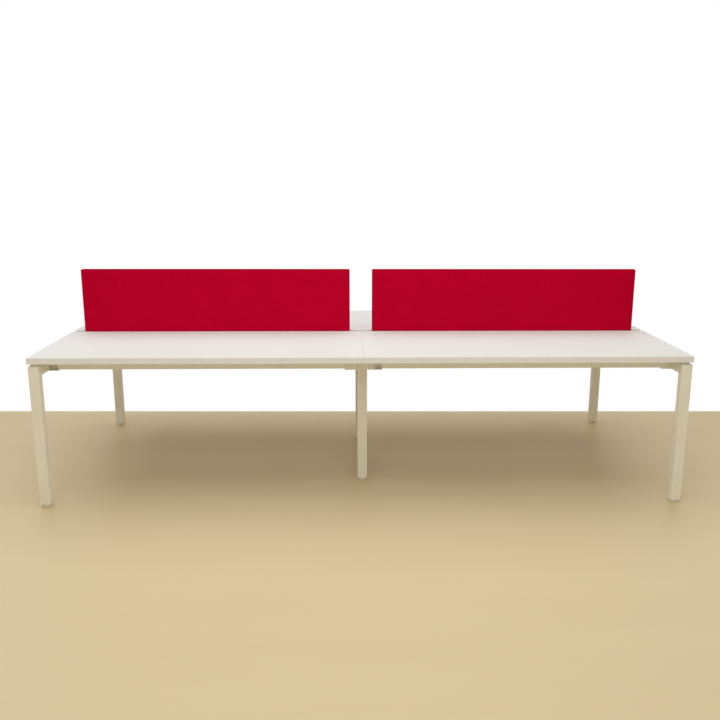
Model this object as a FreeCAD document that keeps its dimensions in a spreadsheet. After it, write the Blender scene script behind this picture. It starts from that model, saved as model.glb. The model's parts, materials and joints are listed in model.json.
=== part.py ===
import FreeCAD, Part
import os

import Sketcher

# Bench desk for two workplaces on each side, with two fabric screens along the middle.
# Millimetres. The origin is on the floor under the middle of the desk: X runs along the desk,
# Y from the front side to the back side, Z up.

doc = FreeCAD.newDocument("BenchDesk")

# Driving sizes
driving_sizes = {
    "deskLength": 3200,
    "deskDepth": 1600,
    "deskHeight": 750,
    # worktops
    "topThickness": 30,
    "topSeam": 0.4,
    "cableGap": 40,
    "bandThickness": 2,
    "bandCorner": 1.8,
    "bandArris": 1.2,
    "shadowGap": 12,
    # end frames and middle frame
    "legSize": 50,
    "legWall": 2,
    "legCorner": 3,
    "legInset": 3,
    "railWidth": 50,
    "railHeight": 50,
    "middleRailHeight": 40,
    "railWall": 2,
    "railCorner": 3,
    "middleRailSetback": 110,
    "middleLegSetback": 385,
    "capThickness": 3,
    "capDepth": 18,
    "capEdge": 2.5,
    "capPlay": 0.3,
    # spacer strips on the rails
    "stripOutset": 14,
    "middleStripWidth": 44,
    "stripFrontRoom": 12,
    "stripGapRoom": 10,
    # beams and their brackets
    "beamWidth": 40,
    "beamHeight": 40,
    "beamWall": 2,
    "beamCorner": 2,
    "beamSetback": 135,
    "outerBracket": 57,
    "innerBracket": 68,
    "bracketGrip": 11,
    "innerHeadRoom": 20,
    "bracketProud": 5,
    "bracketDrop": 5,
    "bracketCorner": 3,
    "pocketWall": 4,
    "tongueLength": 45,
    "tonguePlay": 0.3,
    # bracket bolts and nuts
    "boltDiameter": 6,
    "boltLength": 20,
    "boltHeadDiameter": 10,
    "boltHeadHeight": 6,
    "boltSocket": 5,
    "boltSocketDepth": 3,
    "boltSpread": 18,
    "boltOffset": 12,
    "boltPlay": 0.3,
    "boltHeadPlay": 1,
    "nutWidth": 10,
    "nutHeight": 5,
    # clamp screws through the beams into the bracket tongues
    "clampDiameter": 6,
    "clampLength": 16,
    "clampHeadDiameter": 10.5,
    "clampHeadHeight": 3.3,
    "clampSocket": 4,
    "clampSocketDepth": 2,
    "clampSpread": 22,
    "clampPlay": 0.3,
    # spacer blocks between the beams and the worktops
    "blockLength": 40,
    "blockReach": 26,
    "blockWeb": 4,
    "blockInset": 350,
    "blockEdge": 2,
    # wood screws into the worktops and the screens
    "screwDiameter": 5,
    "screwLength": 20,
    "screwPoint": 4,
    "screwHeadDiameter": 10,
    "screwHeadHeight": 3,
    "screwPlay": 0.3,
    "screwHeadPlay": 1,
    "pilotRoom": 1,
    # levelling feet
    "footHeight": 15,
    "padDiameter": 28,
    "padNeckDiameter": 23,
    "padRim": 6,
    "padEdge": 1,
    "padFloor": 5,
    "padStopRoom": 0.3,
    "stemDiameter": 10,
    "stemLength": 60,
    "stemPoint": 1,
    "stemFit": 0.05,
    "plugFlange": 2,
    "plugDepth": 30,
    "plugPlay": 0.3,
    # screens and their brackets
    "screenGap": 124,
    "screenEndRoom": 65,
    "screenRise": 343,
    "screenThickness": 28,
    "screenEdge": 4,
    "plateThickness": 4,
    "plateWidth": 60,
    "plateLength": 170,
    "plateInset": 250,
    "plateScrewSpread": 36,
    "plateScrewReach": 62,
    "lugThickness": 3,
    "lugHeight": 22,
    "lugPlay": 0.3,
}

sheet = doc.addObject("Spreadsheet::Sheet", "Sizes")
for row, (alias, number) in enumerate(driving_sizes.items(), start=1):
    sheet.set("A%d" % row, alias)
    sheet.set("B%d" % row, str(number))
    sheet.setAlias("B%d" % row, alias)
doc.recompute()


def size(alias):
    return float(sheet.get(alias))


# Places worked out from the driving sizes
top_bottom = "(Sizes.deskHeight - Sizes.topThickness)"
frame_top = "(%s - Sizes.shadowGap)" % top_bottom
leg_bottom = "(Sizes.footHeight + Sizes.plugFlange)"
leg_x = "(Sizes.deskLength / 2 - Sizes.legInset - Sizes.legSize / 2)"
leg_y = "(Sizes.deskDepth / 2 - Sizes.legInset - Sizes.legSize / 2)"
middle_leg_y = "(Sizes.deskDepth / 2 - Sizes.middleLegSetback - Sizes.legSize / 2)"
rail_end_y = "(%s - Sizes.legSize / 2)" % leg_y
middle_rail_end_y = "(Sizes.deskDepth / 2 - Sizes.middleRailSetback)"
rail_face_x = "(%s - Sizes.railWidth / 2)" % leg_x
beam_y = "(Sizes.deskDepth / 2 - Sizes.beamSetback - Sizes.beamWidth / 2)"
beam_z = "(%s - Sizes.beamHeight / 2)" % frame_top
beam_start_x = "(Sizes.railWidth / 2 + Sizes.innerBracket)"
beam_end_x = "(%s - Sizes.outerBracket)" % rail_face_x
bracket_z = "(%s - Sizes.beamHeight - Sizes.bracketDrop)" % frame_top
block_screw_y = "(Sizes.beamWidth / 2 + Sizes.blockReach / 2)"
screen_start_x = "(Sizes.screenGap / 2)"
screen_end_x = "(Sizes.deskLength / 2 - Sizes.screenEndRoom)"
screen_width = "(%s - %s)" % (screen_end_x, screen_start_x)
screen_x = "((%s + %s) / 2)" % (screen_start_x, screen_end_x)
plate_x = "(%s / 2 - Sizes.plateInset)" % screen_width

nodes = []

upright = FreeCAD.Vector(0, 0, 1)

# First guesses, which the constraints then move
guess_corner = FreeCAD.Vector(10, 5, 0)
guess_circle = Part.Circle(FreeCAD.Vector(7, 4, 0), upright, 2)

# An edge runs along an axis above this cosine, and lies on a face within this distance
along_cosine = 0.99
face_distance = 0.1


# Helpers for bodies and sketches
def keep(thing, label):
    thing.Label = label
    nodes.append(thing)
    return thing


def new_body(label):
    return doc.addObject("PartDesign::Body", label)


def place(thing, x="0", y="0", z="0", rotation=None):
    if rotation:
        thing.Placement = FreeCAD.Placement(FreeCAD.Vector(), rotation)
    for letter, expression in zip("xyz", (x, y, z)):
        thing.setExpression("Placement.Base." + letter, expression)


def new_sketch(body, plane):
    support = [feature for feature in body.Origin.OriginFeatures if feature.Role == plane][0]
    sketch = body.newObject("Sketcher::SketchObject", body.Name + "Sketch")
    sketch.AttachmentSupport = [(support, "")]
    sketch.MapMode = "FlatFace"
    return sketch


# Sketches number their root point -1, 1, their axes -1 and -2, and the points of a line
# or a circle 1 for the start, 2 for the end and 3 for the centre.
def pin(sketch, shape, point, x, y):
    for kind, axis, expression in (("DistanceX", -2, x), ("DistanceY", -1, y)):
        if expression == "0":
            sketch.addConstraint(Sketcher.Constraint("PointOnObject", shape, point, axis))
            continue
        spot = sketch.getPoint(shape, point)
        guess = spot.x if kind == "DistanceX" else spot.y
        bound = sketch.addConstraint(Sketcher.Constraint(kind, -1, 1, shape, point, guess))
        sketch.setExpression("Constraints[%d]" % bound, expression)


def outline(sketch, corners):
    turn = FreeCAD.Rotation(upright, 360 / len(corners))
    spots = [guess_corner]
    while len(spots) < len(corners):
        spots.append(turn.multVec(spots[-1]))
    first = sketch.GeometryCount
    for index, spot in enumerate(spots):
        sketch.addGeometry(Part.LineSegment(spot, spots[(index + 1) % len(spots)]), False)
    for index in range(len(corners)):
        after = first + (index + 1) % len(corners)
        sketch.addConstraint(Sketcher.Constraint("Coincident", first + index, 2, after, 1))
    for index, (x, y) in enumerate(corners):
        pin(sketch, first + index, 1, x, y)


def rectangle(sketch, x0, y0, x1, y1):
    outline(sketch, [(x0, y0), (x1, y0), (x1, y1), (x0, y1)])


def centred(sketch, width, depth):
    half_x = "%s / 2" % width
    half_y = "%s / 2" % depth
    rectangle(sketch, "-" + half_x, "-" + half_y, half_x, half_y)


def circles(sketch, centres, diameter):
    for x, y in centres:
        ring = sketch.addGeometry(guess_circle, False)
        pin(sketch, ring, 3, x, y)
        bound = sketch.addConstraint(Sketcher.Constraint("Diameter", ring, 2 * guess_circle.Radius))
        sketch.setExpression("Constraints[%d]" % bound, diameter)


def hexagon(sketch, width):
    corner = "%s / 2 / cos(30)" % width
    spots = ["%d" % angle for angle in range(30, 390, 60)]
    outline(sketch, [("%s * cos(%s)" % (corner, a), "%s * sin(%s)" % (corner, a)) for a in spots])


def pad(body, sketch, length):
    feature = body.newObject("PartDesign::Pad", body.Name + "Pad")
    feature.Profile = sketch
    feature.setExpression("Length", length)
    return feature


def pocket(body, sketch, depth, forward=False):
    doc.recompute()
    before = body.Shape.Volume
    feature = body.newObject("PartDesign::Pocket", body.Name + "Pocket")
    feature.Profile = sketch
    feature.setExpression("Length", depth)
    feature.Reversed = forward
    doc.recompute()
    if body.Shape.Volume >= before:
        raise ValueError("the pocket in %s removes nothing" % body.Name)
    return feature


def soften(body, radius, chosen):
    doc.recompute()
    base = body.Tip
    names = ["Edge%d" % (index + 1) for index, edge in enumerate(base.Shape.Edges) if chosen(edge)]
    feature = body.newObject("PartDesign::Fillet", body.Name + "Fillet")
    feature.Base = (base, names)
    feature.setExpression("Radius", radius)
    return feature


def turned(body, corners):
    sketch = new_sketch(body, "XZ_Plane")
    outline(sketch, corners)
    feature = body.newObject("PartDesign::Revolution", body.Name + "Revolution")
    feature.Profile = sketch
    feature.ReferenceAxis = (sketch, ["V_Axis"])
    feature.Angle = 360
    return feature


def runs_along(edge, axis):
    chord = edge.valueAt(edge.LastParameter) - edge.valueAt(edge.FirstParameter)
    return abs(chord.dot(axis)) > along_cosine * edge.Length


along_x = FreeCAD.Rotation(FreeCAD.Vector(0, 1, 0), 90)
along_y = FreeCAD.Rotation(FreeCAD.Vector(1, 0, 0), -90)
half_turn = FreeCAD.Rotation(upright, 180)
turn_over = FreeCAD.Rotation(FreeCAD.Vector(1, 0, 0), 180)


def tube(label, width, depth, wall, corner, length):
    body = new_body(label)
    outside = new_sketch(body, "XY_Plane")
    centred(outside, width, depth)
    pad(body, outside, length)
    soften(body, corner, lambda edge: runs_along(edge, upright))
    inside = new_sketch(body, "XY_Plane")
    centred(inside, "(%s - 2 * %s)" % (width, wall), "(%s - 2 * %s)" % (depth, wall))
    pocket(body, inside, length, forward=True)
    return keep(body, label)


def group(label, seed, places):
    copies = []
    for spot in places:
        copy = seed.Shape.copy()
        copy.Placement = spot
        copies.append(copy)
    made = doc.addObject("Part::Feature", label)
    made.Shape = Part.makeCompound(copies)
    made.Placement = FreeCAD.Placement()
    return keep(made, label)


def shifted(x, y, z, rotation=FreeCAD.Rotation()):
    return FreeCAD.Placement(FreeCAD.Vector(x, y, z), rotation)


sides = {"left": -1, "right": 1}
rows = {"front": -1, "back": 1}
columns = {"left": -1, "centre": 0, "right": 1}


# Worktops: a board with an edge band round it, and pilot holes for the screws from below
def worktop(row, side):
    sx = sides[side]
    sy = rows[row]
    outer = (
        "%d * Sizes.topSeam / 2" % sx,
        "%d * Sizes.cableGap / 2" % sy,
        "%d * Sizes.deskLength / 2" % sx,
        "%d * Sizes.deskDepth / 2" % sy,
    )
    inner = (
        "%d * (Sizes.topSeam / 2 + Sizes.bandThickness)" % sx,
        "%d * (Sizes.cableGap / 2 + Sizes.bandThickness)" % sy,
        "%d * (Sizes.deskLength / 2 - Sizes.bandThickness)" % sx,
        "%d * (Sizes.deskDepth / 2 - Sizes.bandThickness)" % sy,
    )
    pilot = "Sizes.screwDiameter + 2 * Sizes.screwPlay"

    board = new_body("top_%s_%s" % (row, side))
    sheet_outline = new_sketch(board, "XY_Plane")
    rectangle(sheet_outline, *inner)
    pad(board, sheet_outline, "Sizes.topThickness")
    block_holes = new_sketch(board, "XY_Plane")
    block_spots = []
    for x in (beam_start_x + " + Sizes.blockInset", beam_end_x + " - Sizes.blockInset"):
        for sign in "+-":
            y = "%s %s %s" % (beam_y, sign, block_screw_y)
            block_spots.append(("%d * (%s)" % (sx, x), "%d * (%s)" % (sy, y)))
    circles(block_holes, block_spots, pilot)
    pocket(board, block_holes, "Sizes.screwLength - Sizes.blockWeb + Sizes.pilotRoom", forward=True)
    plate_holes = new_sketch(board, "XY_Plane")
    plate_spots = []
    for end in "+-":
        for sign in "+-":
            x = "%s %s %s %s Sizes.plateScrewSpread / 2" % (screen_x, end, plate_x, sign)
            plate_spots.append(("%d * (%s)" % (sx, x), "%d * Sizes.plateScrewReach" % sy))
    circles(plate_holes, plate_spots, pilot)
    pocket(board, plate_holes, "Sizes.screwLength - Sizes.plateThickness + Sizes.pilotRoom", forward=True)
    place(board, z=top_bottom)
    keep(board, "top_%s_%s" % (row, side))

    band = new_body("band_%s_%s" % (row, side))
    ring = new_sketch(band, "XY_Plane")
    rectangle(ring, *outer)
    rectangle(ring, *inner)
    pad(band, ring, "Sizes.topThickness")
    doc.recompute()
    box = band.Shape.BoundBox
    corners_x = (box.XMin, box.XMax)
    corners_y = (box.YMin, box.YMax)

    def at_outside(point):
        beside_x = min(abs(point.x - x) for x in corners_x) < size("bandThickness") / 2
        beside_y = min(abs(point.y - y) for y in corners_y) < size("bandThickness") / 2
        return beside_x, beside_y

    def outer_corner(edge):
        return runs_along(edge, upright) and all(at_outside(edge.CenterOfMass))

    def outer_rim(edge):
        middle = edge.CenterOfMass
        level = min(middle.z - box.ZMin, box.ZMax - middle.z) < face_distance
        return level and any(at_outside(middle))

    soften(band, "Sizes.bandCorner", outer_corner)
    soften(band, "Sizes.bandArris", outer_rim)
    place(band, z=top_bottom)
    keep(band, "band_%s_%s" % (row, side))


for row in rows:
    for side in sides:
        worktop(row, side)


# Legs: end legs stand at the corners, middle legs stand under the middle rail
legs = {}
for row, sy in rows.items():
    for column, sx in columns.items():
        if sx:
            length = "%s - Sizes.capThickness - %s" % (frame_top, leg_bottom)
            distance = leg_y
        else:
            length = "%s - Sizes.middleRailHeight - %s" % (frame_top, leg_bottom)
            distance = middle_leg_y
        leg = tube("leg_%s_%s" % (row, column), "Sizes.legSize", "Sizes.legSize",
                   "Sizes.legWall", "Sizes.legCorner", length)
        place(leg, "%d * %s" % (sx, leg_x), "%d * %s" % (sy, distance), leg_bottom)
        legs[row, column] = leg


# Cross rails with the bolt holes for the beam brackets in their walls
def rail_holes(rail, half_length, rail_z, forward):
    sketch = new_sketch(rail, "YZ_Plane")
    open_side = "-" if forward else "+"
    spots = []
    for row_sign in "+-":
        along = "%s %s %s %s Sizes.boltOffset" % (half_length, row_sign, beam_y, open_side)
        for sign in "+-":
            level = "%s - %s %s Sizes.boltSpread / 2" % (rail_z, beam_z, sign)
            spots.append((level, along))
    circles(sketch, spots, "Sizes.boltDiameter + 2 * Sizes.boltPlay")
    pocket(rail, sketch, "Sizes.railWidth", forward=forward)


for column, sx in columns.items():
    half_length = rail_end_y if sx else "(%s - Sizes.capThickness)" % middle_rail_end_y
    height = "Sizes.railHeight" if sx else "Sizes.middleRailHeight"
    rail_z = "(%s - %s / 2)" % (frame_top, height)
    rail = tube("rail_%s" % column, "Sizes.railWidth", height,
                "Sizes.railWall", "Sizes.railCorner", "2 * %s" % half_length)
    if sx <= 0:
        rail_holes(rail, half_length, rail_z, forward=True)
    if sx >= 0:
        rail_holes(rail, half_length, rail_z, forward=False)
    place(rail, "%d * %s" % (sx, leg_x), "-%s" % half_length, rail_z, along_y)


# Beams with the holes for the clamp screws in their upper wall
beams = {}
beam_length = "(%s - %s)" % (beam_end_x, beam_start_x)
for row, sy in rows.items():
    for side, sx in sides.items():
        beam = tube("beam_%s_%s" % (row, side), "Sizes.beamHeight", "Sizes.beamWidth",
                    "Sizes.beamWall", "Sizes.beamCorner", beam_length)
        holes = new_sketch(beam, "YZ_Plane")
        near = ["Sizes.tongueLength / 2 %s Sizes.clampSpread / 2" % sign for sign in "+-"]
        far = ["%s - (%s)" % (beam_length, spot) for spot in near]
        circles(holes, [("0", spot) for spot in near + far], "Sizes.clampDiameter + 2 * Sizes.clampPlay")
        pocket(beam, holes, "Sizes.beamHeight")
        start = beam_start_x if sx > 0 else "-%s" % beam_end_x
        place(beam, start, "%d * %s" % (sy, beam_y), beam_z, along_x)
        beams[row, side] = beam


# Beam brackets: a casting with a pocket in one side, where its bolts are reached, a hollow in its top
# and a tongue in the beam. Those on the middle rail are closed for longer, and their bolt heads are sunk.
def bracket(label, end):
    body = new_body(label)
    length = "Sizes.%sBracket" % end
    half_width = "(Sizes.beamWidth / 2 + Sizes.bracketProud)"
    height = "(Sizes.beamHeight + Sizes.bracketDrop)"
    closed = "Sizes.bracketGrip" if end == "outer" else "(Sizes.bracketGrip + Sizes.innerHeadRoom)"
    block = new_sketch(body, "YZ_Plane")
    rectangle(block, "-" + half_width, "0", half_width, height)
    pad(body, block, length)
    free_end = size("%sBracket" % end)
    soften(body, "Sizes.bracketCorner",
           lambda edge: runs_along(edge, upright) and abs(edge.CenterOfMass.x - free_end) < face_distance)

    far_end = length + " - Sizes.pocketWall"
    back = "(Sizes.boltHeadDiameter / 2 + Sizes.boltHeadPlay - Sizes.boltOffset)"
    opening = new_sketch(body, "XZ_Plane")
    opening.setExpression("AttachmentOffset.Base.z", half_width)
    rectangle(opening, closed, "Sizes.pocketWall", far_end, height + " - Sizes.pocketWall")
    pocket(body, opening, "%s + %s" % (half_width, back))
    hollow = new_sketch(body, "XY_Plane")
    hollow.setExpression("AttachmentOffset.Base.z", height)
    near_side = back + " + Sizes.pocketWall"
    rectangle(hollow, "Sizes.bracketGrip", near_side, far_end, half_width + " - Sizes.pocketWall")
    pocket(body, hollow, height + " - Sizes.pocketWall")

    tongue = new_sketch(body, "YZ_Plane")
    tongue.setExpression("AttachmentOffset.Base.z", length)
    inside = "Sizes.beamWall + Sizes.tonguePlay"
    half_tongue = "(Sizes.beamWidth / 2 - (%s))" % inside
    tongue_top = "%s - (%s)" % (height, inside)
    rectangle(tongue, "-" + half_tongue, "Sizes.bracketDrop + " + inside, half_tongue, tongue_top)
    pad(body, tongue, "Sizes.tongueLength")

    level = "Sizes.bracketDrop + Sizes.beamHeight / 2"
    bolt_spots = [("-Sizes.boltOffset", "%s %s Sizes.boltSpread / 2" % (level, sign)) for sign in "+-"]
    bolt_holes = new_sketch(body, "YZ_Plane")
    circles(bolt_holes, bolt_spots, "Sizes.boltDiameter + 2 * Sizes.boltPlay")
    pocket(body, bolt_holes, closed, forward=True)
    if end == "inner":
        sunk_heads = new_sketch(body, "YZ_Plane")
        sunk_heads.setExpression("AttachmentOffset.Base.z", "Sizes.bracketGrip")
        circles(sunk_heads, bolt_spots, "Sizes.boltHeadDiameter + 2 * Sizes.boltHeadPlay")
        pocket(body, sunk_heads, "Sizes.innerHeadRoom", forward=True)

    clamp_holes = new_sketch(body, "XY_Plane")
    middle = length + " + Sizes.tongueLength / 2"
    circles(clamp_holes, [("%s %s Sizes.clampSpread / 2" % (middle, sign), "0") for sign in "+-"],
            "Sizes.clampDiameter + 2 * Sizes.clampPlay")
    pocket(body, clamp_holes, height, forward=True)

    return keep(body, label)


brackets = []
for row, sy in rows.items():
    for side, sx in sides.items():
        for end in ("inner", "outer"):
            piece = bracket("bracket_%s_%s_%s" % (row, side, end), end)
            face = "Sizes.railWidth / 2" if end == "inner" else rail_face_x
            points_right = (end == "inner") == (sx > 0)
            place(piece, "%d * %s" % (sx, face), "%d * %s" % (sy, beam_y), bracket_z,
                  None if points_right else half_turn)
            brackets.append((piece, size("%sBracket" % end)))


# Spacer strips that carry the worktops on the rails
for row, sy in rows.items():
    for column, sx in columns.items():
        strip = doc.addObject("Part::Box", "strip_%s_%s" % (row, column))
        front = "%s + Sizes.legSize / 2" % leg_y if sx else middle_rail_end_y
        width = "(Sizes.railWidth - Sizes.stripOutset)" if sx else "Sizes.middleStripWidth"
        near_x = rail_face_x if sx else "-%s / 2" % width
        gap_side = "(Sizes.cableGap / 2 + Sizes.stripGapRoom)"
        length = "(%s - Sizes.stripFrontRoom - %s)" % (front, gap_side)
        strip.setExpression("Length", width)
        strip.setExpression("Width", length)
        strip.setExpression("Height", "Sizes.shadowGap")
        y = gap_side if sy > 0 else "-%s - %s" % (gap_side, length)
        place(strip, "-%s - %s" % (near_x, width) if sx < 0 else near_x, y, frame_top)
        keep(strip, "strip_%s_%s" % (row, column))


# Screens: flat panels standing in the gap between the front and back worktops
for side, sx in sides.items():
    panel = new_body("screen_%s" % side)
    footprint = new_sketch(panel, "XY_Plane")
    centred(footprint, screen_width, "Sizes.screenThickness")
    pad(panel, footprint, "Sizes.screenRise + Sizes.topThickness")
    doc.recompute()
    panel_top = panel.Shape.BoundBox.ZMax
    soften(panel, "Sizes.screenEdge",
           lambda edge: runs_along(edge, upright) or panel_top - edge.CenterOfMass.z < face_distance)
    pilots = new_sketch(panel, "XY_Plane")
    spots = []
    for end in ("-", ""):
        for sign in "+-":
            spots.append(("%s%s %s Sizes.plateScrewSpread / 2" % (end, plate_x, sign), "0"))
    circles(pilots, spots, "Sizes.screwDiameter + 2 * Sizes.screwPlay")
    pocket(panel, pilots, "Sizes.screwLength - Sizes.plateThickness + Sizes.pilotRoom", forward=True)
    place(panel, "%d * %s" % (sx, screen_x), z=top_bottom)
    keep(panel, "screen_%s" % side)


# Levelling feet: a pad under each leg and the threaded stem that stands in it
for (row, column), leg in legs.items():
    sx = columns[column]
    sy = rows[row]
    x = "%d * %s" % (sx, leg_x)
    y = "%d * %s" % (sy, leg_y if sx else middle_leg_y)
    socket = "Sizes.stemDiameter / 2 + Sizes.stemFit"
    pad_top = "Sizes.footHeight - Sizes.padStopRoom"
    foot_pad = new_body("foot_pad_%s_%s" % (row, column))
    turned(foot_pad, [
        ("0", "0"), ("Sizes.padDiameter / 2 - Sizes.padEdge", "0"),
        ("Sizes.padDiameter / 2", "Sizes.padEdge"), ("Sizes.padDiameter / 2", "Sizes.padRim"),
        ("Sizes.padNeckDiameter / 2", pad_top), (socket, pad_top),
        (socket, "Sizes.padFloor"), ("0", "Sizes.padFloor"),
    ])
    place(foot_pad, x, y)
    keep(foot_pad, "foot_pad_%s_%s" % (row, column))

    stem = new_body("foot_stem_%s_%s" % (row, column))
    radius = "Sizes.stemDiameter / 2"
    turned(stem, [
        ("0", "0"), (radius + " - Sizes.stemPoint", "0"), (radius, "Sizes.stemPoint"),
        (radius, "Sizes.stemLength - Sizes.stemPoint"),
        (radius + " - Sizes.stemPoint", "Sizes.stemLength"), ("0", "Sizes.stemLength"),
    ])
    place(stem, x, y, "Sizes.padFloor")
    keep(stem, "foot_stem_%s_%s" % (row, column))


# Patterns for the small pieces that repeat: each is made once at the origin
def end_cap(name, width, depth, wall, corner, play, flange, reach):
    body = new_body(name)
    cover = new_sketch(body, "XY_Plane")
    centred(cover, width, depth)
    pad(body, cover, flange)
    soften(body, corner, lambda edge: runs_along(edge, upright))
    insert = new_sketch(body, "XY_Plane")
    inside = "(%s - 2 * %s - 2 * %s)"
    centred(insert, inside % (width, wall, play), inside % (depth, wall, play))
    pad(body, insert, "%s + %s" % (flange, reach))
    return body


def rounded_face(body, radius):
    soften(body, radius, lambda edge: abs(edge.BoundBox.ZMax) < face_distance)
    return body


leg_cap = rounded_face(end_cap("legCap", "Sizes.legSize", "Sizes.legSize", "Sizes.legWall",
                               "Sizes.legCorner", "Sizes.capPlay", "Sizes.capThickness",
                               "Sizes.capDepth"), "Sizes.capEdge")
rail_cap = rounded_face(end_cap("railCap", "Sizes.railWidth", "Sizes.middleRailHeight", "Sizes.railWall",
                                "Sizes.railCorner", "Sizes.capPlay", "Sizes.capThickness",
                                "Sizes.capDepth"), "Sizes.capEdge")
leg_plug = end_cap("legPlug", "Sizes.legSize", "Sizes.legSize", "Sizes.legWall", "Sizes.legCorner",
                   "Sizes.plugPlay", "Sizes.plugFlange", "Sizes.plugDepth")
bore = new_sketch(leg_plug, "XY_Plane")
circles(bore, [("0", "0")], "Sizes.stemDiameter + 2 * Sizes.stemFit")
pocket(leg_plug, bore, "Sizes.plugFlange + Sizes.plugDepth", forward=True)


def socket_screw(name, diameter, length, head_diameter, head_height, socket, socket_depth):
    # the shank points down from the underside of the head at z = 0
    body = new_body(name)
    turned(body, [
        ("0", "-" + length), (diameter + " / 2", "-" + length), (diameter + " / 2", "0"),
        (head_diameter + " / 2", "0"), (head_diameter + " / 2", head_height), ("0", head_height),
    ])
    key = new_sketch(body, "XY_Plane")
    key.setExpression("AttachmentOffset.Base.z", head_height)
    hexagon(key, socket)
    pocket(body, key, socket_depth)
    return body


bolt = socket_screw("bracketBolt", "Sizes.boltDiameter", "Sizes.boltLength", "Sizes.boltHeadDiameter",
                    "Sizes.boltHeadHeight", "Sizes.boltSocket", "Sizes.boltSocketDepth")
clamp = socket_screw("clampScrew", "Sizes.clampDiameter", "Sizes.clampLength", "Sizes.clampHeadDiameter",
                     "Sizes.clampHeadHeight", "Sizes.clampSocket", "Sizes.clampSocketDepth")

nut = new_body("bracketNut")
nut_outline = new_sketch(nut, "XY_Plane")
hexagon(nut_outline, "Sizes.nutWidth")
circles(nut_outline, [("0", "0")], "Sizes.boltDiameter + 2 * Sizes.boltPlay")
pad(nut, nut_outline, "Sizes.nutHeight")

wood_screw = new_body("woodScrew")
shank = "Sizes.screwDiameter / 2"
turned(wood_screw, [
    ("0", "-Sizes.screwHeadHeight"), ("Sizes.screwHeadDiameter / 2", "-Sizes.screwHeadHeight"),
    ("Sizes.screwHeadDiameter / 2", "0"), (shank, "0"),
    (shank, "Sizes.screwLength - Sizes.screwPoint"), ("0", "Sizes.screwLength"),
])

block = new_body("topBlock")
block_width = "(Sizes.beamWidth + 2 * Sizes.blockReach)"
block_outline = new_sketch(block, "XY_Plane")
centred(block_outline, "Sizes.blockLength", block_width)
pad(block, block_outline, "Sizes.shadowGap")
soften(block, "Sizes.blockEdge", lambda edge: runs_along(edge, upright))
block_spots = [("0", "-" + block_screw_y), ("0", block_screw_y)]
head_room = new_sketch(block, "XY_Plane")
circles(head_room, block_spots, "Sizes.screwHeadDiameter + 2 * Sizes.screwHeadPlay")
pocket(block, head_room, "Sizes.shadowGap - Sizes.blockWeb", forward=True)
shank_room = new_sketch(block, "XY_Plane")
circles(shank_room, block_spots, "Sizes.screwDiameter + 2 * Sizes.screwPlay")
pocket(block, shank_room, "Sizes.shadowGap", forward=True)

# the screen bracket is a plate under the gap with two lugs that hold the foot of the screen
plate = new_body("screenPlate")
reach = "Sizes.plateLength / 2"
under = "-Sizes.plateThickness"
lug_in = "(Sizes.screenThickness / 2 + Sizes.lugPlay)"
lug_out = "(%s + Sizes.lugThickness)" % lug_in
section = new_sketch(plate, "YZ_Plane")
outline(section, [
    ("-" + reach, under), (reach, under), (reach, "0"), (lug_out, "0"),
    (lug_out, "Sizes.lugHeight"), (lug_in, "Sizes.lugHeight"), (lug_in, "0"), ("-" + lug_in, "0"),
    ("-" + lug_in, "Sizes.lugHeight"), ("-" + lug_out, "Sizes.lugHeight"), ("-" + lug_out, "0"),
    ("-" + reach, "0"),
])
pad(plate, section, "Sizes.plateWidth")
plate_holes = new_sketch(plate, "XY_Plane")
plate_spots = []
for y in ("-Sizes.plateScrewReach", "0", "Sizes.plateScrewReach"):
    for sign in "+-":
        plate_spots.append(("Sizes.plateWidth / 2 %s Sizes.plateScrewSpread / 2" % sign, y))
circles(plate_holes, plate_spots, "Sizes.screwDiameter + 2 * Sizes.screwPlay")
pocket(plate, plate_holes, "Sizes.plateThickness")
doc.recompute()

# Groups of small pieces, placed from the pieces that they fasten
leg_list = list(legs.values())
group("leg_plugs", leg_plug, [leg.Placement * shifted(0, 0, -size("plugFlange")) for leg in leg_list])
end_legs = [leg for (row, column), leg in legs.items() if columns[column]]
group("leg_caps", leg_cap, [
    leg.Placement * shifted(0, 0, leg.Shape.BoundBox.ZLength + size("capThickness"), turn_over)
    for leg in end_legs
])
middle_rail = [node for node in nodes if node.Label == "rail_centre"][0]
rail_length = middle_rail.Shape.BoundBox.YLength
group("rail_caps", rail_cap, [
    middle_rail.Placement * shifted(0, 0, -size("capThickness")),
    middle_rail.Placement * shifted(0, 0, rail_length + size("capThickness"), turn_over),
])

bolt_level = size("bracketDrop") + size("beamHeight") / 2
beam_top = size("bracketDrop") + size("beamHeight")
bolt_places = []
nut_places = []
clamp_places = []
for piece, length in brackets:
    for sign in (-1, 1):
        y = -size("boltOffset")
        z = bolt_level + sign * size("boltSpread") / 2
        bolt_places.append(piece.Placement * shifted(size("bracketGrip"), y, z, along_x))
        nut_depth = -size("railWall") - size("nutHeight")
        nut_places.append(piece.Placement * shifted(nut_depth, y, z, along_x))
        x = length + (size("tongueLength") + sign * size("clampSpread")) / 2
        clamp_places.append(piece.Placement * shifted(x, 0, beam_top))
group("bracket_bolts", bolt, bolt_places)
group("bracket_nuts", nut, nut_places)
group("clamp_screws", clamp, clamp_places)

block_places = []
screw_places = []
for beam in beams.values():
    length = beam.Shape.BoundBox.XLength
    for along in (size("blockInset"), length - size("blockInset")):
        spot = beam.Placement.multVec(FreeCAD.Vector(-size("beamHeight") / 2, 0, along))
        block_places.append(FreeCAD.Placement(spot, FreeCAD.Rotation()))
        for sign in (-1, 1):
            y = sign * (size("beamWidth") + size("blockReach")) / 2
            screw_places.append(block_places[-1] * shifted(0, y, size("shadowGap") - size("blockWeb")))
group("top_blocks", block, block_places)

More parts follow.
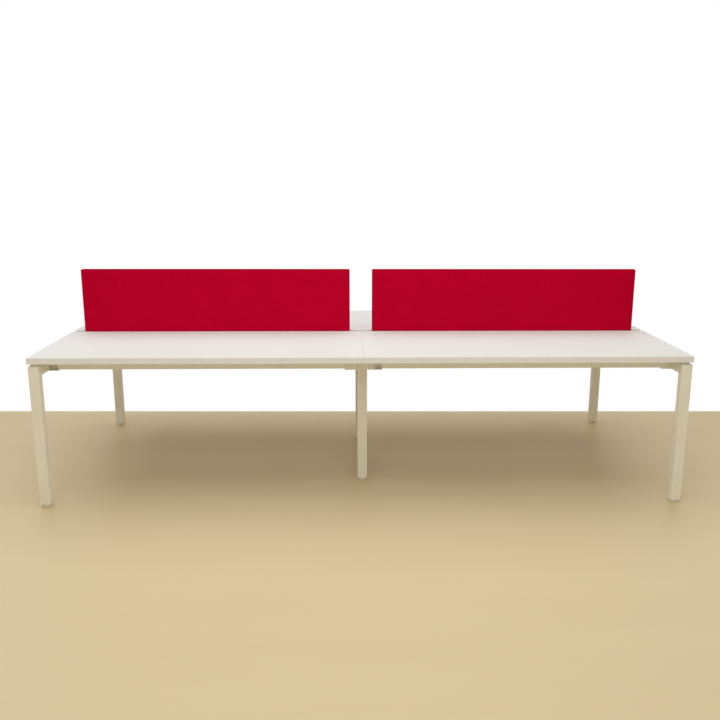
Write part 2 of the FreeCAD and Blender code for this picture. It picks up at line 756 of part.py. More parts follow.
plate_places = []
for panel in [node for node in nodes if node.Label.startswith("screen_")]:
    for sign in (-1, 1):
        middle = sign * (panel.Shape.BoundBox.XLength / 2 - size("plateInset"))
        plate_places.append(panel.Placement * shifted(middle - size("plateWidth") / 2, 0, 0))
        for across in (-1, 0, 1):
            for end in (-1, 1):
                x = middle + end * size("plateScrewSpread") / 2
                y = across * size("plateScrewReach")
                screw_places.append(panel.Placement * shifted(x, y, -size("plateThickness")))
group("screen_plates", plate, plate_places)
group("wood_screws", wood_screw, screw_places)
doc.recompute()

# Nothing is written unless every piece came out whole
for thing in doc.Objects:
    if "Invalid" in thing.State or "Error" in thing.State:
        raise ValueError("%s failed: %s" % (thing.Label, thing.State))
for node in nodes:
    if node.Shape.isNull() or not node.Shape.isValid():
        raise ValueError("%s has no valid shape" % node.Label)

os.makedirs("parts", exist_ok=True)
for node in nodes:
    node.Shape.exportStep("parts/%s.step" % node.Label)
print("%d pieces written" % len(nodes))
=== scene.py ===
import json
import math

import bmesh
import bpy
from mathutils import Matrix, Vector


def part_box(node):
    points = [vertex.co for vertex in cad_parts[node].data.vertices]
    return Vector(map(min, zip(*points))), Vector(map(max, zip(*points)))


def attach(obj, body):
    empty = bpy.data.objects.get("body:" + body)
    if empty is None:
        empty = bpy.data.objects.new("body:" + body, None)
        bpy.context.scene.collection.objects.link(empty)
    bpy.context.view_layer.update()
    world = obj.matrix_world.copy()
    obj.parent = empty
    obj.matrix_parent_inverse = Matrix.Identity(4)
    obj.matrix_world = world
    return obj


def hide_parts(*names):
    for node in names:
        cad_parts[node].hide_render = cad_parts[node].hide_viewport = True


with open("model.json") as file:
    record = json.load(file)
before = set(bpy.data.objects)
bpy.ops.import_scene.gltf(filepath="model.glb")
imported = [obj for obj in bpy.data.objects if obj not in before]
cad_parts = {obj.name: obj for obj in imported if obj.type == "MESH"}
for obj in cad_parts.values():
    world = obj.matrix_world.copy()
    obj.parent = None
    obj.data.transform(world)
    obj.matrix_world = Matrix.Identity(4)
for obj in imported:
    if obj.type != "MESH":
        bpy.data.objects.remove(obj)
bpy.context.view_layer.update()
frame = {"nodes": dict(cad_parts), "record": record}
print("frame loaded:", len(frame["nodes"]), "nodes")

rows = ("front", "back")
sides = ("left", "right")
columns = ("left", "centre", "right")

# small helpers for finishes; object coordinates are metres in the desk's own frame
mixColours = (6, 7)  # where a Mix node has its two colours among its inputs
mixResult = 2  # where it gives the mixed colour
noiseMiddle = (0.3, 0.7)  # most of a noise lies between these
fullRange = (0, 1)


def newFinish(name, roughness, specular=0.5, metallic=0.0):
    finish = bpy.data.materials.new(name)
    finish.use_nodes = True
    shader = finish.node_tree.nodes["Principled BSDF"]
    shader.inputs["Roughness"].default_value = roughness
    shader.inputs["Specular IOR Level"].default_value = specular
    shader.inputs["Metallic"].default_value = metallic
    return finish, finish.node_tree, shader


def addNode(tree, kind, **settings):
    node = tree.nodes.new("ShaderNode" + kind)
    for key, value in settings.items():
        setattr(node, key, value)
    return node


def feed(tree, socket, value):
    if isinstance(value, bpy.types.NodeSocket):
        tree.links.new(value, socket)
    else:
        socket.default_value = value


def deskPlace(tree, stretch=(1, 1, 1), turn=(0, 0, 0)):
    place = addNode(tree, "TexCoord").outputs["Object"]
    mapping = addNode(tree, "Mapping")
    tree.links.new(place, mapping.inputs["Vector"])
    mapping.inputs["Scale"].default_value = stretch
    mapping.inputs["Rotation"].default_value = turn
    return mapping.outputs["Vector"]


def noise(tree, place, scale, detail, rough=0.5):
    node = addNode(tree, "TexNoise")
    tree.links.new(place, node.inputs["Vector"])
    node.inputs["Scale"].default_value = scale
    node.inputs["Detail"].default_value = detail
    node.inputs["Roughness"].default_value = rough
    return node.outputs["Fac"]


def span(tree, value, before, after, shape="LINEAR"):
    node = addNode(tree, "MapRange", interpolation_type=shape)
    tree.links.new(value, node.inputs["Value"])
    for word, limits in (("From", before), ("To", after)):
        node.inputs[word + " Min"].default_value = limits[0]
        node.inputs[word + " Max"].default_value = limits[1]
    return node.outputs["Result"]


def sums(tree, operation, first, second=0.0):
    node = addNode(tree, "Math", operation=operation)
    feed(tree, node.inputs[0], first)
    feed(tree, node.inputs[1], second)
    return node.outputs["Value"]


def addShare(tree, base, value, share):
    return sums(tree, "ADD", base, sums(tree, "MULTIPLY", value, share))


def blendColours(tree, factor, first, second):
    node = addNode(tree, "Mix", data_type="RGBA")
    feed(tree, node.inputs["Factor"], factor)
    for place, colour in zip(mixColours, (first, second)):
        plain = not isinstance(colour, bpy.types.NodeSocket)
        feed(tree, node.inputs[place], (*colour, 1) if plain else colour)
    return node.outputs[mixResult]


def emboss(tree, shader, height, strength, distance):
    node = addNode(tree, "Bump")
    node.inputs["Strength"].default_value = strength
    node.inputs["Distance"].default_value = distance
    tree.links.new(height, node.inputs["Height"])
    tree.links.new(node.outputs["Normal"], shader.inputs["Normal"])


def axisOf(tree, place, letter):
    node = addNode(tree, "SeparateXYZ")
    tree.links.new(place, node.inputs["Vector"])
    return node.outputs[letter]


# white melamine: a faint pearl grain, hand marks only in the gloss
melamine = {"pale": (0.785, 0.785, 0.78), "dull": (0.75, 0.75, 0.745),
            "roughness": 0.6, "specular": 0.22,
            "clouds": {"scale": 3.0, "detail": 4}, "cloudShare": 0.6,
            "grain": {"scale": 1100, "detail": 2}, "grainShare": 0.4,
            "grainBump": {"strength": 0.06, "distance": 0.0002},
            "marks": {"scale": 1.5, "detail": 5, "rough": 0.6}, "markStretch": (6, 2, 6),
            "markTurn": (0, 0, 0.4), "markRoughness": (0.54, 0.68)}


def makeMelamine():
    finish, tree, shader = newFinish("white melamine", melamine["roughness"], melamine["specular"])
    place = deskPlace(tree)
    clouds = noise(tree, place, **melamine["clouds"])
    grain = noise(tree, place, **melamine["grain"])
    cloudy = sums(tree, "MULTIPLY", clouds, melamine["cloudShare"])
    mixed = addShare(tree, cloudy, grain, melamine["grainShare"])
    tint = blendColours(tree, mixed, melamine["dull"], melamine["pale"])
    feed(tree, shader.inputs["Base Color"], tint)
    markPlace = deskPlace(tree, melamine["markStretch"], melamine["markTurn"])
    marks = noise(tree, markPlace, **melamine["marks"])
    feed(tree, shader.inputs["Roughness"], span(tree, marks, noiseMiddle, melamine["markRoughness"]))
    emboss(tree, shader, grain, **melamine["grainBump"])
    return finish


# edging: plastic strip with drawn lines along it and a little dirt in patches
edging = {"pale": (0.82, 0.81, 0.79), "dull": (0.72, 0.71, 0.68), "roughness": 0.4,
          "lines": {"scale": 700, "detail": 3}, "lineStretch": (0.02, 0.02, 1), "lineShare": 0.5,
          "lineBump": {"strength": 0.1, "distance": 0.0002},
          "patches": {"scale": 14, "detail": 5, "rough": 0.65}, "patchRange": (0.2, 0.8),
          "patchRoughness": (0.34, 0.5), "dirtRange": (0.5, 0.8), "dirtShare": (0.0, 0.6)}


def makeEdging():
    finish, tree, shader = newFinish("plastic edging", edging["roughness"])
    lines = noise(tree, deskPlace(tree, edging["lineStretch"]), **edging["lines"])
    patches = noise(tree, deskPlace(tree), **edging["patches"])
    dirt = span(tree, patches, edging["dirtRange"], edging["dirtShare"])
    drawnShare = sums(tree, "MULTIPLY", lines, edging["lineShare"])
    drawn = blendColours(tree, drawnShare, edging["pale"], edging["dull"])
    feed(tree, shader.inputs["Base Color"], blendColours(tree, dirt, drawn, edging["dull"]))
    gloss = span(tree, patches, edging["patchRange"], edging["patchRoughness"])
    feed(tree, shader.inputs["Roughness"], gloss)
    emboss(tree, shader, lines, **edging["lineBump"])
    return finish


# powder coat on tubes, castings and plates: orange peel, and scuffs that thin out above the floor
coat = {"roughness": 0.42, "tone": {"scale": 9, "detail": 4},
        "peelDetail": 1, "peelRoughness": (0.36, 0.5), "peelDistance": 0.0004,
        "fineTimes": 3.5, "fineDetail": 2, "fineShare": 0.35,
        "scuff": (0.42, 0.37, 0.28), "scuffHeight": (0.0, 0.16), "scuffFade": (1.0, 0.0),
        "rubs": {"scale": 95, "detail": 4, "rough": 0.7}, "rubStretch": (1, 1, 0.35),
        "rubRange": (0.58, 0.72), "rubShare": (0.0, 0.35)}
coats = {
    "frame": {"name": "cream powder coat", "peel": 420, "peelStrength": 0.12,
              "cream": (0.84, 0.80, 0.68), "shade": (0.79, 0.745, 0.62)},
    "bracket": {"name": "cream coat on castings", "peel": 620, "peelStrength": 0.22,
                "cream": (0.80, 0.75, 0.62), "shade": (0.73, 0.68, 0.55)},
    "screen_plate": {"name": "cream coat on plates", "peel": 500, "peelStrength": 0.12,
                     "cream": (0.82, 0.78, 0.66), "shade": (0.77, 0.72, 0.60)},
}


def makeCoat(name, cream, shade, peel, peelStrength):
    finish, tree, shader = newFinish(name, coat["roughness"])
    place = deskPlace(tree)
    tone = noise(tree, place, **coat["tone"])
    coarse = noise(tree, place, peel, coat["peelDetail"])
    fine = noise(tree, place, peel * coat["fineTimes"], coat["fineDetail"])
    tint = blendColours(tree, span(tree, tone, noiseMiddle, fullRange), cream, shade)
    reach = span(tree, axisOf(tree, place, "Z"), coat["scuffHeight"], coat["scuffFade"])
    rubs = noise(tree, deskPlace(tree, coat["rubStretch"]), **coat["rubs"])
    scuffs = sums(tree, "MULTIPLY", reach, span(tree, rubs, coat["rubRange"], coat["rubShare"]))
    feed(tree, shader.inputs["Base Color"], blendColours(tree, scuffs, tint, coat["scuff"]))
    feed(tree, shader.inputs["Roughness"], span(tree, coarse, noiseMiddle, coat["peelRoughness"]))
    orangePeel = addShare(tree, coarse, fine, coat["fineShare"])
    emboss(tree, shader, orangePeel, peelStrength, coat["peelDistance"])
    return finish


# moulded plastic: fine spark grain, duller where it is rubbed
moulded = {"grain": {"scale": 1500, "detail": 2}, "grainBump": {"strength": 0.18, "distance": 0.0002},
           "smoother": 0.06, "rougher": 0.08,
           "wear": {"scale": 38, "detail": 4, "rough": 0.6}, "wearRange": (0.35, 0.7)}
mouldings = {
    "spacer": {"name": "cream spacer plastic", "roughness": 0.55,
               "pale": (0.66, 0.62, 0.50), "dull": (0.58, 0.54, 0.43)},
    "end_cap": {"name": "cream cap plastic", "roughness": 0.5,
                "pale": (0.80, 0.76, 0.64), "dull": (0.73, 0.69, 0.57)},
    "foot_pad": {"name": "pale foot plastic", "roughness": 0.45,
                 "pale": (0.86, 0.84, 0.77), "dull": (0.78, 0.75, 0.68)},
}


def makeMoulded(name, pale, dull, roughness):
    finish, tree, shader = newFinish(name, roughness)
    place = deskPlace(tree)
    grain = noise(tree, place, **moulded["grain"])
    wear = noise(tree, place, **moulded["wear"])
    worn = span(tree, wear, moulded["wearRange"], fullRange)
    feed(tree, shader.inputs["Base Color"], blendColours(tree, worn, pale, dull))
    grainRoughness = (roughness - moulded["smoother"], roughness + moulded["rougher"])
    feed(tree, shader.inputs["Roughness"], span(tree, grain, noiseMiddle, grainRoughness))
    emboss(tree, shader, grain, **moulded["grainBump"])
    return finish


# bright zinc: small crystals that differ a little, with dull specks
zinc = {"bright": (0.66, 0.67, 0.66), "warm": (0.56, 0.54, 0.47), "roughness": 0.34, "crystals": 420,
        "specks": {"scale": 900, "detail": 3, "rough": 0.6}, "speckRoughness": (0.26, 0.46),
        "speckBump": {"strength": 0.08, "distance": 0.0002}}


def makeZinc():
    finish, tree, shader = newFinish("zinc plate", zinc["roughness"], metallic=1.0)
    place = deskPlace(tree)
    crystals = addNode(tree, "TexVoronoi")
    tree.links.new(place, crystals.inputs["Vector"])
    crystals.inputs["Scale"].default_value = zinc["crystals"]
    specks = noise(tree, place, **zinc["specks"])
    shift = sums(tree, "MULTIPLY", crystals.outputs["Distance"], specks)
    feed(tree, shader.inputs["Base Color"], blendColours(tree, shift, zinc["bright"], zinc["warm"]))
    feed(tree, shader.inputs["Roughness"], span(tree, specks, noiseMiddle, zinc["speckRoughness"]))
    emboss(tree, shader, specks, **zinc["speckBump"])
    return finish


# woven wool cloth: warp and weft cross over and under, with slubs in both; the crests of the threads are
# painted lighter, as a painted highlight
cloth = {"thread": 0.0016, "roughness": 0.9, "specular": 0.03,
         "sheen": 0.08, "sheenRoughness": 0.4, "sheenTint": (0.9, 0.0, 0.05),
         "slubs": {"scale": 420, "detail": 3, "rough": 0.6}, "slubStretch": 0.06, "slubShare": 0.4,
         "clouds": {"scale": 5, "detail": 3}, "cloudShare": 0.2,
         "toneRange": (0.38, 0.62), "toneShare": (0.0, 0.75), "crestHighlightShare": 0.25,
         "slubLift": 0.5, "bump": {"strength": 0.5, "distance": 0.0005}}
screenCloth = {"name": "red screen cloth", "bright": (0.59, 0.0, 0.029), "deep": (0.455, 0.0, 0.019)}
# the welt's cloth is the face cloth painted darker, as painted shade along the screen edges
shadedWeltCloth = {"name": "red welt cloth with painted edge shade", "bright": (0.50, 0.0, 0.02), "deep": (0.37, 0.0, 0.012)}


def makeCloth(name, bright, deep):
    finish, tree, shader = newFinish(name, cloth["roughness"], cloth["specular"])
    shader.inputs["Sheen Weight"].default_value = cloth["sheen"]
    shader.inputs["Sheen Roughness"].default_value = cloth["sheenRoughness"]
    shader.inputs["Sheen Tint"].default_value = (*cloth["sheenTint"], 1)
    place = deskPlace(tree)
    perThread = 1 / cloth["thread"]
    over = addNode(tree, "TexChecker")
    tree.links.new(place, over.inputs["Vector"])
    over.inputs["Scale"].default_value = perThread
    ridges = []
    for letter in "XZ":
        turns = sums(tree, "MULTIPLY", axisOf(tree, place, letter), math.pi * perThread)
        ridges.append(sums(tree, "ABSOLUTE", sums(tree, "SINE", turns)))
    weft = sums(tree, "MULTIPLY", ridges[1], over.outputs["Fac"])
    warp = sums(tree, "MULTIPLY", ridges[0], sums(tree, "SUBTRACT", 1.0, over.outputs["Fac"]))
    weaveAndCrestHighlight = sums(tree, "ADD", warp, weft)
    long = cloth["slubStretch"]
    along = noise(tree, deskPlace(tree, (long, long, 1)), **cloth["slubs"])
    upward = noise(tree, deskPlace(tree, (1, 1, long)), **cloth["slubs"])
    clouds = noise(tree, place, **cloth["clouds"])
    alongShare = sums(tree, "MULTIPLY", along, cloth["slubShare"])
    slubs = addShare(tree, alongShare, upward, cloth["slubShare"])
    tone = addShare(tree, slubs, clouds, cloth["cloudShare"])
    tone = span(tree, tone, cloth["toneRange"], cloth["toneShare"])
    # painted highlight: the thread crests of the weave push the colour towards the bright red
    tone = addShare(tree, tone, weaveAndCrestHighlight, cloth["crestHighlightShare"])
    feed(tree, shader.inputs["Base Color"], blendColours(tree, tone, deep, bright))
    emboss(tree, shader, addShare(tree, weaveAndCrestHighlight, slubs, cloth["slubLift"]), **cloth["bump"])
    return finish


finishes = {"worktop": makeMelamine(), "edge_band": makeEdging(), "fastener": makeZinc(),
            "screen": makeCloth(**screenCloth)}
finishes["foot_stem"] = finishes["fastener"]
for slotName, kind in coats.items():
    finishes[slotName] = makeCoat(**kind)
for slotName, kind in mouldings.items():
    finishes[slotName] = makeMoulded(**kind)
shadedWeltFinish = makeCloth(**shadedWeltCloth)

for subpart in frame["record"]["subparts"]:
    node = frame["nodes"][subpart["node"]]
    finish = finishes[subpart["material_slot"]]
    if not node.material_slots:
        node.data.materials.append(finish)
    for materialSlot in node.material_slots:
        materialSlot.material = finish
print("finishes on the nodes:", len(finishes))

# small helpers for pieces
cornerTurn = 1  # radians; an edge that turns more than this is a corner


def addPiece(name, mesh, finish, body, smoothTo, replaced=()):
    data = bpy.data.meshes.new(name)
    bmesh.ops.recalc_face_normals(mesh, faces=mesh.faces)
    mesh.to_mesh(data)
    mesh.free()
    data.materials.append(finish)
    for face in data.polygons:
        face.use_smooth = True
    data.set_sharp_from_angle(angle=math.radians(smoothTo))
    piece = bpy.data.objects.new(name, data)
    bpy.context.scene.collection.objects.link(piece)
    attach(piece, body)
    if replaced:
        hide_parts(*replaced)
    return piece


def allOf(mesh):
    return mesh.verts[:] + mesh.edges[:] + mesh.faces[:]


def cornersOf(mesh):
    return [edge for edge in mesh.edges if edge.calc_face_angle(0) > cornerTurn]


def roundOff(mesh, geom, offset, segments, affect="EDGES"):
    bmesh.ops.bevel(mesh, geom=geom, offset=offset, segments=segments, profile=0.5,
                    affect=affect, material=-1)


def spinRound(mesh, centre, steps, **settings):
    bmesh.ops.spin(mesh, geom=mesh.verts[:] + mesh.edges[:], cent=(centre.x, centre.y, 0),
                   axis=(0, 0, 1), angle=math.tau, steps=steps, **settings)


def pourInto(whole, part):
    carrier = bpy.data.meshes.new("carrier")
    part.to_mesh(carrier)
    part.free()
    whole.from_mesh(carrier)
    bpy.data.meshes.remove(carrier)


# upholstered screens: a board with foam under tight cloth, sewn to a welt round each face
screen = {"cell": 0.0115, "round": 0.004, "roundSteps": 4, "weltRoom": 0.0014,
          "sink": 0.0019, "rise": 0.03, "sinkFrom": 0.9,  # share of the rounding that sinks with the face
          "pucker": 0.00022, "puckerStep": 0.052, "puckerReach": 0.028, "smoothTo": 60}


def easeIn(share):
    share = min(max(share, 0), 1)
    return share * share * (3 - 2 * share)


def makeScreen(side):
    low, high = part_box("screen_" + side)
    low = low + Vector((screen["weltRoom"], 0, screen["weltRoom"]))
    high = high - Vector((screen["weltRoom"], 0, screen["weltRoom"]))
    size = high - low
    middle = (low + high) / 2
    mesh = bmesh.new()
    bmesh.ops.create_cube(mesh, size=1)
    bmesh.ops.scale(mesh, vec=size, verts=mesh.verts)
    bmesh.ops.translate(mesh, vec=middle, verts=mesh.verts)
    for axis in (0, 2):
        lengthwise = [edge for edge in mesh.edges
                      if abs(edge.verts[0].co[axis] - edge.verts[1].co[axis]) > size[axis] / 2]
        cuts = round(size[axis] / screen["cell"])
        bmesh.ops.subdivide_edges(mesh, edges=lengthwise, cuts=cuts, use_grid_fill=True)
    roundOff(mesh, cornersOf(mesh), screen["round"], screen["roundSteps"])
    for vert in mesh.verts:
        off = vert.co - middle
        if abs(off.y) < size.y / 2 - screen["round"] * screen["sinkFrom"]:
            continue
        fromEdge = [size.x / 2 - abs(off.x), size.z / 2 - abs(off.z)]
        near = min(fromEdge)
        along = vert.co.z if fromEdge[0] < fromEdge[1] else vert.co.x
        drop = screen["sink"] * (1 - easeIn(near / screen["rise"]))
        ripple = screen["pucker"] * math.exp(-near / screen["puckerReach"])
        drop += ripple * (1 + math.sin(math.tau * along / screen["puckerStep"]))
        vert.co.y -= math.copysign(drop, off.y)
    piece = addPiece("screen_cover_" + side, mesh, finishes["screen"], "desk",
                     screen["smoothTo"], ["screen_" + side])


# welt: a thin cloth-covered cord sewn in where the face cloth meets the edge cloth; its cloth is a darker
# red than the face cloth, as painted shade along the screen edges
welt = {"corner": 0.006, "cornerSteps": 4, "width": 0.0034, "inFromFace": 0.0012,
        "round": 0.00153, "roundSteps": 3, "smoothTo": 50}


def makeWelt(side):
    low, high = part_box("screen_" + side)
    mesh = bmesh.new()
    for face in (-1, 1):
        ring = bmesh.new()
        made = bmesh.ops.create_grid(ring, x_segments=1, y_segments=1, size=0.5)
        bmesh.ops.scale(ring, vec=(high.x - low.x, high.z - low.z, 1), verts=made["verts"])
        roundOff(ring, ring.verts[:], welt["corner"], welt["cornerSteps"], affect="VERTICES")
        bmesh.ops.inset_region(ring, faces=ring.faces[:], thickness=welt["width"], use_boundary=True)
        inner = min(ring.faces, key=lambda each: each.calc_center_median().length)
        bmesh.ops.delete(ring, geom=[inner], context="FACES")
        grown = bmesh.ops.extrude_face_region(ring, geom=ring.faces[:])
        lifted = [each for each in grown["geom"] if isinstance(each, bmesh.types.BMVert)]
        bmesh.ops.translate(ring, vec=(0, 0, welt["width"]), verts=lifted)
        bmesh.ops.recalc_face_normals(ring, faces=ring.faces)
        roundOff(ring, cornersOf(ring), welt["round"], welt["roundSteps"])
        stand = Matrix.Rotation(math.pi / 2, 4, "X")
        bmesh.ops.transform(ring, matrix=stand, verts=ring.verts)
        yMiddle = high.y - welt["inFromFace"] - welt["width"] / 2
        yNow = sum(vert.co.y for vert in ring.verts) / len(ring.verts)
        spot = Vector(((low.x + high.x) / 2, face * yMiddle - yNow, (low.z + high.z) / 2))
        bmesh.ops.translate(ring, vec=spot, verts=ring.verts)
        pourInto(mesh, ring)
    addPiece("screen_welt_" + side, mesh, shadedWeltFinish, "desk", welt["smoothTo"])


for side in sides:
    makeScreen(side)
    makeWelt(side)
print("screens upholstered")

# foot stems: a real thread, cut flat at both ends with a lead-in that starts at the tip's radius
thread = {"pitch": 0.0015, "root": 0.0041, "crest": 0.005, "tip": 0.004, "steps": 24, "spareTurns": 2,
          "mergeWithin": 0.00002, "cutWithin": 0.000001, "rimWithin": 0.00001, "smoothTo": 40}


def makeStem(name):
    low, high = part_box("foot_stem_" + name)
    centre = (low + high) / 2
    mesh = bmesh.new()
    turns = math.ceil((high.z - low.z) / thread["pitch"]) + thread["spareTurns"]
    before = None
    for half in range(2 * turns + 1):
        radius = thread["crest"] if half % 2 else thread["root"]
        level = low.z + thread["pitch"] * (half / 2 - thread["spareTurns"])
        vert = mesh.verts.new((centre.x + radius, centre.y, level))
        if before:
            mesh.edges.new((before, vert))
        before = vert
    climb = (0, 0, thread["pitch"] / thread["steps"])
    spinRound(mesh, centre, thread["steps"], dvec=climb, use_merge=False)
    bmesh.ops.remove_doubles(mesh, verts=mesh.verts, dist=thread["mergeWithin"])
    for level, away in ((low.z, -1), (high.z, 1)):
        bmesh.ops.bisect_plane(mesh, geom=allOf(mesh), dist=thread["cutWithin"], plane_co=(0, 0, level),
                               plane_no=(0, 0, away), clear_outer=True)
        rim = []
        for edge in mesh.edges:
            if edge.is_boundary and abs(edge.verts[0].co.z - level) < thread["rimWithin"]:
                rim.append(edge)
        bmesh.ops.contextual_create(mesh, geom=rim)
    for vert in mesh.verts:
        arm = Vector((vert.co.x - centre.x, vert.co.y - centre.y, 0))
        most = thread["tip"] + min(vert.co.z - low.z, high.z - vert.co.z)
        if arm.length > most:
            vert.co -= arm * (1 - most / arm.length)
    addPiece("thread_" + name, mesh, finishes["foot_stem"], "foot_stem_" + name,
             thread["smoothTo"], ["foot_stem_" + name])


# foot pads: turned plastic with finger notches round the rim and a blind bore for the stem
footPad = {"rim": 0.006, "lip": 0.0009, "edge": 0.001,
           "neck": 0.0115, "neckEdge": 0.0002, "flare": 0.0008, "flareDrop": 0.0012,
           "bore": 0.00505, "boreFloor": 0.005,
           "hollow": 0.0003, "hollowFlat": 0.55, "hollowEnd": 0.58,  # the last two are shares of the radius
           "steps": 48, "notch": 0.0005, "notchInset": 0.0003, "wallFrom": 0.98,
           "mergeWithin": 0.00001, "smoothTo": 35}


def makePad(name):
    low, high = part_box("foot_pad_" + name)
    centre = (low + high) / 2
    radius = (high.x - low.x) / 2
    top = high.z - low.z
    rim = footPad["rim"]
    lip = footPad["lip"]
    edge = footPad["edge"]
    neck = footPad["neck"]
    bore = footPad["bore"]
    profile = [
        (0, footPad["hollow"]),
        (radius * footPad["hollowFlat"], footPad["hollow"]),
        (radius * footPad["hollowEnd"], 0),
        (radius - edge, 0),
        (radius, edge),
        (radius, rim - lip),
        (radius - lip, rim),
        (neck + footPad["flare"], top - footPad["flareDrop"]),
        (neck - footPad["neckEdge"], top),
        (bore, top),
        (bore, footPad["boreFloor"]),
        (0, footPad["boreFloor"]),
    ]
    mesh = bmesh.new()
    verts = [mesh.verts.new((centre.x + across, centre.y, low.z + up)) for across, up in profile]
    for first, second in zip(verts, verts[1:]):
        mesh.edges.new((first, second))
    spinRound(mesh, centre, footPad["steps"], use_merge=True)
    bmesh.ops.remove_doubles(mesh, verts=mesh.verts, dist=footPad["mergeWithin"])
    bmesh.ops.recalc_face_normals(mesh, faces=mesh.faces)
    wall = []
    for face in mesh.faces:
        spot = face.calc_center_median()
        arm = Vector((spot.x - centre.x, spot.y - centre.y))
        if arm.length > radius * footPad["wallFrom"] and edge < spot.z - low.z < rim - lip:
            wall.append((math.atan2(arm.y, arm.x), face))
    wall.sort(key=lambda pair: pair[0])
    grips = [face for angle, face in wall[1::2]]
    bmesh.ops.inset_individual(mesh, faces=grips, thickness=footPad["notchInset"],
                               depth=-footPad["notch"])
    addPiece("pad_" + name, mesh, finishes["foot_pad"], "foot_pad_" + name,
             footPad["smoothTo"], ["foot_pad_" + name])


for row in rows:
    for column in columns:
        makeStem(row + "_" + column)
        makePad(row + "_" + column)
print("feet threaded")

# weld beads: under each end rail at the legs, and before and behind each middle leg
bead = {"length": 0.042, "leg": 0.0045, "round": 0.003825, "roundSteps": 4,
        "ripples": 14, "depth": 0.00035, "smoothTo": 50}


def runsAlong(edge):
    return abs(edge.verts[0].co.x - edge.verts[1].co.x) > bead["length"] / 2


def makeBead(awayY, awayZ):
    mesh = bmesh.new()
    bmesh.ops.create_cube(mesh, size=1)
    bmesh.ops.scale(mesh, vec=(bead["length"], bead["leg"], bead["leg"]), verts=mesh.verts)
    outer = []
    for edge in mesh.edges:
        spot = edge.verts[0].co
        if runsAlong(edge) and spot.y * awayY > 0 and spot.z * awayZ > 0:
            outer.append(edge)
    roundOff(mesh, outer, bead["round"], bead["roundSteps"])
    lengthwise = [edge for edge in mesh.edges if runsAlong(edge)]
    bmesh.ops.subdivide_edges(mesh, edges=lengthwise, cuts=2 * bead["ripples"] - 1, use_grid_fill=True)
    step = bead["length"] / (2 * bead["ripples"])
    for vert in mesh.verts:
        if round((vert.co.x + bead["length"] / 2) / step) % 2:
            vert.co.y -= awayY * bead["depth"]
            vert.co.z -= awayZ * bead["depth"]
    return mesh


def makeBeads():
    seams = []
    for side in sides:
        railLow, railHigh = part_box("rail_" + side)
        x = (railLow.x + railHigh.x) / 2
        seams.append((x, railLow.y, railLow.z, 1))
        seams.append((x, railHigh.y, railLow.z, -1))
    for row in rows:
        legLow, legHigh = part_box("leg_%s_centre" % row)
        x = (legLow.x + legHigh.x) / 2
        seams.append((x, legLow.y, legHigh.z, -1))
        seams.append((x, legHigh.y, legHigh.z, 1))
    whole = bmesh.new()
    half = bead["leg"] / 2
    for x, y, z, awayY in seams:
        mesh = makeBead(awayY, -1)
        bmesh.ops.translate(mesh, vec=(x, y + awayY * half, z - half), verts=mesh.verts)
        pourInto(whole, mesh)
    addPiece("weld_beads", whole, finishes["frame"], "desk", bead["smoothTo"])


makeBeads()
print("welds laid")


# white where the camera sees it straight or in a gloss, and the plain shader for all other light
def seenStraight(tree):
    rays = addNode(tree, "LightPath").outputs
    seen = sums(tree, "MAXIMUM", rays["Is Camera Ray"], rays["Is Glossy Ray"])
    return sums(tree, "MAXIMUM", seen, rays["Is Transmission Ray"])


def joinShaders(tree, share, plain, white, output):
    join = addNode(tree, "MixShader")
    tree.links.new(share, join.inputs[0])
    tree.links.new(plain.outputs[0], join.inputs[1])
    tree.links.new(white.outputs[0], join.inputs[2])
    tree.links.new(join.outputs[0], tree.nodes[output].inputs["Surface"])


# floor: pale and plain; it falls away behind the desk and fades to white in an oval all round
stageFloor = {"pale": (0.75, 0.62, 0.40), "deep": (0.70, 0.57, 0.36), "roughness": 0.5, "specular": 0.3,
              "tone": {"scale": 3, "detail": 4}, "toneStretch": (0.25, 1, 1),
              "reach": 14, "fallFrom": 1.136, "fallTurn": 0.0192, "fallSlope": 0.364,
              "fallBend": 0.12, "bendSteps": 10,
              "plainAside": 3.6, "plainDeep": 3.2, "fade": (1, 1.55)}


def makeFloorFinish():
    finish, tree, shader = newFinish("pale floor", stageFloor["roughness"], stageFloor["specular"])
    tone = noise(tree, deskPlace(tree, stageFloor["toneStretch"]), **stageFloor["tone"])
    tint = blendColours(tree, tone, stageFloor["pale"], stageFloor["deep"])
    feed(tree, shader.inputs["Base Color"], tint)
    white = addNode(tree, "Emission")
    white.inputs["Strength"].default_value = 1
    oval = addNode(tree, "VectorMath", operation="LENGTH")
    inPlain = deskPlace(tree, (1 / stageFloor["plainAside"], 1 / stageFloor["plainDeep"], 0))
    tree.links.new(inPlain, oval.inputs[0])
    around = span(tree, oval.outputs["Value"], stageFloor["fade"], fullRange, "SMOOTHSTEP")
    share = sums(tree, "MULTIPLY", around, seenStraight(tree))
    joinShaders(tree, share, shader, white, "Material Output")
    return finish


def makeFloor():
    fallFrom = stageFloor["fallFrom"]
    mesh = bmesh.new()
    bmesh.ops.create_grid(mesh, x_segments=1, y_segments=1, size=stageFloor["reach"])
    cut = bmesh.ops.bisect_plane(mesh, geom=allOf(mesh), plane_co=(0, fallFrom, 0), plane_no=(0, 1, 0))
    for vert in mesh.verts:
        vert.co.z = -stageFloor["fallSlope"] * max(vert.co.y - fallFrom, 0)
    fold = [each for each in cut["geom_cut"] if isinstance(each, bmesh.types.BMEdge)]
    roundOff(mesh, fold, stageFloor["fallBend"], stageFloor["bendSteps"])
    level = Matrix.Rotation(-stageFloor["fallTurn"], 3, "Z")  # the far edge is level in the picture
    bmesh.ops.rotate(mesh, cent=(0, 0, 0), matrix=level, verts=mesh.verts)
    data = bpy.data.meshes.new("floor")
    mesh.to_mesh(data)
    mesh.free()
    data.materials.append(makeFloorFinish())
    floor = bpy.data.objects.new("floor", data)
    bpy.context.scene.collection.objects.link(floor)


# sky: a warm even light, which shows as white
sky = {"tint": (1.0, 0.85, 0.53), "level": 0.29}


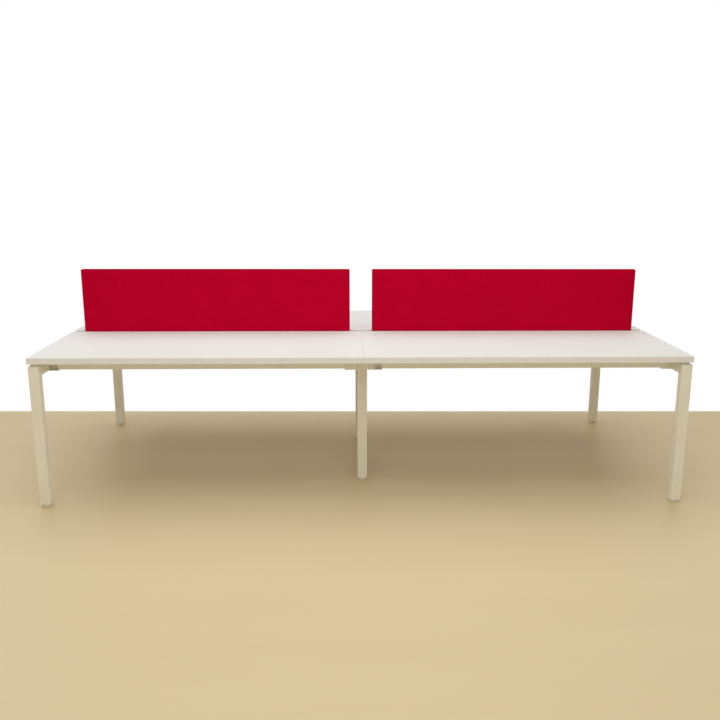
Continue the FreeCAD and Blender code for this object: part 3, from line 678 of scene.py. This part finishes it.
def makeSky():
    world = bpy.data.worlds.new("studio")
    bpy.context.scene.world = world
    world.use_nodes = True
    tree = world.node_tree
    light = tree.nodes["Background"]
    light.inputs["Color"].default_value = (*sky["tint"], 1)
    light.inputs["Strength"].default_value = sky["level"]
    white = addNode(tree, "Background")
    white.inputs["Color"].default_value = (1, 1, 1, 1)
    joinShaders(tree, seenStraight(tree), light, white, "World Output")


# lamps: three large soft ones, and two narrow ones for the inner sides of the legs; spread is in degrees
lampTint = (0.93, 0.965, 1.0)
lamps = {
    "overhead": {"at": (-0.3, -0.3, 3.4), "towards": (-0.3, -0.3, 0),
                 "size": (6.0, 5.2), "spread": 180, "watts": 129},
    "front": {"at": (-0.3, -4.8, 3.2), "towards": (0, 0, 0.6),
              "size": (4.5, 2.0), "spread": 180, "watts": 42},
    "low": {"at": (0.4, -6.0, 1.3), "towards": (0, 0, 0.7),
            "size": (5.0, 1.2), "spread": 180, "watts": 37},
    "left": {"at": (-6.0, -0.6, 0.45), "towards": (1.57, -0.77, 0.3),
             "size": (1.2, 0.8), "spread": 24, "watts": 1.4},
    "right": {"at": (6.0, -0.6, 0.45), "towards": (-1.57, -0.77, 0.3),
              "size": (1.2, 0.8), "spread": 24, "watts": 1.4},
}


def makeLamps():
    for name, lamp in lamps.items():
        data = bpy.data.lights.new(name, "AREA")
        data.shape = "RECTANGLE"
        data.size, data.size_y = lamp["size"]
        data.spread = math.radians(lamp["spread"])
        data.energy = lamp["watts"]
        data.color = lampTint
        light = bpy.data.objects.new(name, data)
        light.location = lamp["at"]
        aim = Vector(lamp["towards"]) - Vector(lamp["at"])
        light.rotation_euler = aim.to_track_quat("-Z", "Y").to_euler()
        bpy.context.scene.collection.objects.link(light)


# camera: where the photograph was taken from; its frame is cut a little off the lens axis
pictureSize = 720
cameraFit = {"at": (-0.0983, -5.0444, 1.5705), "down": 0.25378, "right": 0.03294, "roll": 0.0034,
             "lens": 45.13, "sensor": 36, "farthest": 60,
             "shiftRight": -12.57 / pictureSize, "shiftUp": 54.3 / pictureSize}


def makeCamera():
    data = bpy.data.cameras.new("camera")
    data.sensor_width = cameraFit["sensor"]
    data.lens = cameraFit["lens"]
    data.shift_x = cameraFit["shiftRight"]
    data.shift_y = cameraFit["shiftUp"]
    data.clip_end = cameraFit["farthest"]
    camera = bpy.data.objects.new("camera", data)
    camera.location = cameraFit["at"]
    turn = Matrix.Rotation(-cameraFit["right"], 4, "Z")
    tilt = Matrix.Rotation(math.pi / 2 - cameraFit["down"], 4, "X")
    roll = Matrix.Rotation(cameraFit["roll"], 4, "Z")
    camera.rotation_euler = (turn @ tilt @ roll).to_euler()
    bpy.context.scene.collection.objects.link(camera)
    bpy.context.scene.camera = camera


makeFloor()
makeSky()
makeLamps()
makeCamera()
bpy.context.scene.view_settings.view_transform = "Standard"
print("stage set")
